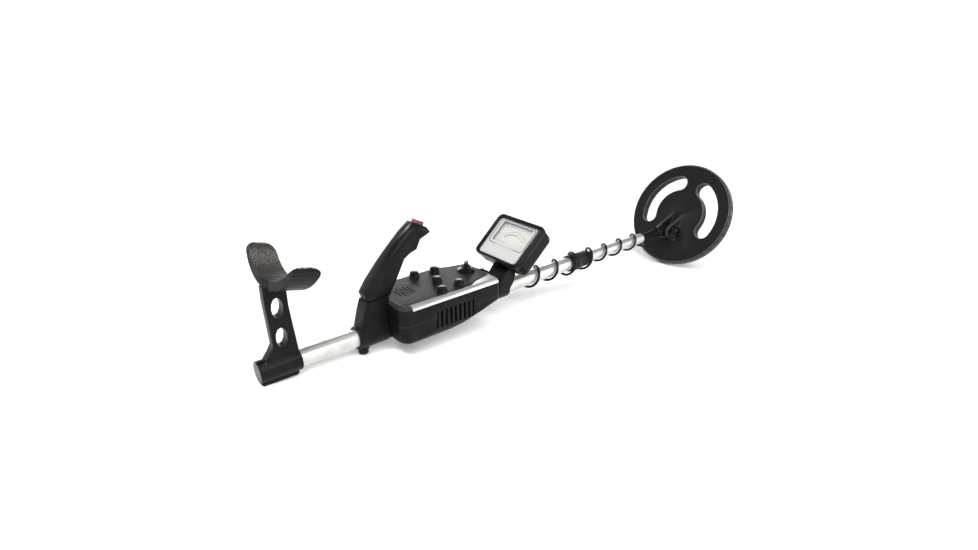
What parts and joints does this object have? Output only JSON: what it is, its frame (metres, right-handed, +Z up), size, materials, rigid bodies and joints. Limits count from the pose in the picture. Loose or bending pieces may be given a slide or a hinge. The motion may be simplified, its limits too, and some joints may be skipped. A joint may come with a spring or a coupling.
{
  "type": "metal detector",
  "caption": "Hand-held metal detector with a forearm cup, pistol grip, control box, tilted needle meter, telescopic shaft with a wound cable and a round slotted search coil.",
  "frame": {"origin": "under the middle of the object, on the floor that the rear foot and the coil's rim stand on", "axes": "+X forward towards the coil, +Y to the user's left, +Z up; the shaft rises about 4 degrees to the front"},
  "size_m": [0.8784, 0.2, 0.1902],
  "materials": {
    "black_plastic": "satin moulded black",
    "soft_black": "matt black",
    "panel_grey": "dark grey, fine texture",
    "silver_paint": "satin silver paint",
    "aluminium": "satin anodised",
    "red_plastic": "glossy red",
    "steel": "bright plated",
    "brass": "plain",
    "circuit_green": "solder resist",
    "clear_lens": "clear",
    "dial_white": "matt white card",
    "copper": "enamelled wire",
    "battery_shell": "printed can without markings"
  },
  "bodies": {
    "handle_frame": {"arm_rest": "black_plastic", "rear_foot": "soft_black", "upper_tube": "aluminium", "stem_lock_body": "black_plastic", "handle_base": "black_plastic", "grip_left": "black_plastic", "grip_right": "black_plastic", "button_spring": "steel", "button_switch": "soft_black", "housing_lower": "black_plastic", "housing_upper": "black_plastic", "trim_left": "silver_paint", "trim_right": "silver_paint", "control_panel": "panel_grey", "circuit_board": "circuit_green", "speaker": "soft_black", "coil_socket": "brass", "headphone_jack": "steel", "battery_left": "battery_shell", "battery_right": "battery_shell", "meter_case": "black_plastic", "meter_bezel": "black_plastic", "meter_faceplate": "silver_paint", "meter_window": "clear_lens", "meter_dial": "dial_white", "meter_movement": "soft_black", "meter_neck": "black_plastic", "coil_cable": "soft_black"},
    "stem": {"stem_tube": "aluminium", "stem_bush": "soft_black", "rod_end": "black_plastic", "pivot_washer_left": "soft_black", "pivot_washer_right": "soft_black", "coil_cable_stem": "soft_black"},
    "lock_collar": {"stem_lock_collar": "soft_black"},
    "coil": {"coil_upper_shell": "black_plastic", "coil_lower_shell": "black_plastic", "coil_winding": "copper", "cable_gland": "soft_black", "pivot_bolt": "steel", "coil_cable_tail": "soft_black"},
    "coil_star_knob": {"pivot_knob": "soft_black"},
    "clamp_screw": {"clamp_knob": "soft_black"},
    "button": {"grip_button": "red_plastic"},
    "selector": {"selector_knob": "black_plastic"},
    "needle": {"meter_needle": "soft_black"},
    "door_left": {"battery_door_left": "black_plastic"},
    "door_right": {"battery_door_right": "black_plastic"},
    "plug": {"cable_plug": "soft_black"},
    "control_rear_left": {"knob_rear_left": "black_plastic"},
    "control_rear_right": {"knob_rear_right": "black_plastic"},
    "control_front_left": {"knob_front_left": "black_plastic"},
    "control_front_right": {"knob_front_right": "black_plastic"},
    "control_middle": {"knob_middle": "black_plastic"}
  },
  "joints": [
    {"name": "stem_slide", "type": "slide", "parent": "handle_frame", "child": "stem", "axis": [0.9975, 0, 0.0708], "range_m": [-0.06, 0.12], "deforming": ["coil_cable", "coil_cable_stem"]},
    {"name": "lock_twist", "type": "hinge", "parent": "handle_frame", "child": "lock_collar", "pos_m": [0.09429, 0, 0.05242], "axis": [0.9975, 0, 0.0708], "range_deg": [0, 120]},
    {"name": "coil_tilt", "type": "hinge", "parent": "stem", "child": "coil", "pos_m": [0.34765, 0, 0.07042], "axis": [0, 1, 0], "range_deg": [-25, 64], "deforming": ["coil_cable_tail"]},
    {"name": "pivot_knob_turn", "type": "hinge", "parent": "coil", "child": "coil_star_knob", "pos_m": [0.34765, -0.02, 0.07042], "axis": [0, 1, 0], "range_deg": [-180, 180]},
    {"name": "clamp_knob_turn", "type": "hinge", "parent": "handle_frame", "child": "clamp_screw", "pos_m": [-0.30877, 0, 0.00375], "axis": [-0.0708, 0, 0.9975], "range_deg": [-180, 180]},
    {"name": "button_press", "type": "slide", "parent": "handle_frame", "child": "button", "axis": [-0.3721, 0, -0.9282], "range_m": [0, 0.0015], "stiffness_N_per_m": 400, "springref_m": -0.001, "deforming": ["button_spring"]},
    {"name": "knob_rear_left_turn", "type": "hinge", "parent": "handle_frame", "child": "control_rear_left", "pos_m": [-0.21313, 0.033, 0.0757], "axis": [-0.0708, 0, 0.9975], "range_deg": [-150, 150]},
    {"name": "knob_rear_right_turn", "type": "hinge", "parent": "handle_frame", "child": "control_rear_right", "pos_m": [-0.21313, -0.031, 0.0757], "axis": [-0.0708, 0, 0.9975], "range_deg": [-150, 150]},
    {"name": "knob_front_left_turn", "type": "hinge", "parent": "handle_frame", "child": "control_front_left", "pos_m": [-0.18321, 0.029, 0.07783], "axis": [-0.0708, 0, 0.9975], "range_deg": [-150, 150]},
    {"name": "knob_front_right_turn", "type": "hinge", "parent": "handle_frame", "child": "control_front_right", "pos_m": [-0.18321, -0.0275, 0.07783], "axis": [-0.0708, 0, 0.9975], "range_deg": [-150, 150]},
    {"name": "knob_middle_turn", "type": "hinge", "parent": "handle_frame", "child": "control_middle", "pos_m": [-0.20016, -0.0015, 0.07662], "axis": [-0.0708, 0, 0.9975], "range_deg": [-150, 150]},
    {"name": "selector_turn", "type": "hinge", "parent": "handle_frame", "child": "selector", "pos_m": [-0.1458, 0.005, 0.08048], "axis": [-0.0708, 0, 0.9975], "range_deg": [-60, 60]},
    {"name": "needle_swing", "type": "hinge", "parent": "handle_frame", "child": "needle", "pos_m": [-0.07848, 0, 0.09981], "axis": [0.7215, 0, -0.6925], "range_deg": [0, 97], "stiffness_Nm_per_rad": 0.0002, "springref_deg": -11.46},
    {"name": "battery_door_left_open", "type": "hinge", "parent": "handle_frame", "child": "door_left", "pos_m": [-0.22028, 0.028, 0.02106], "axis": [0, -1, 0], "range_deg": [0, 100]},
    {"name": "battery_door_right_open", "type": "hinge", "parent": "handle_frame", "child": "door_right", "pos_m": [-0.22028, -0.028, 0.02106], "axis": [0, -1, 0], "range_deg": [0, 100]},
    {"name": "plug_pull", "type": "slide", "parent": "handle_frame", "child": "plug", "axis": [0.9975, 0, 0.0708], "range_m": [0, 0.012], "deforming": ["coil_cable"]}
  ]
}
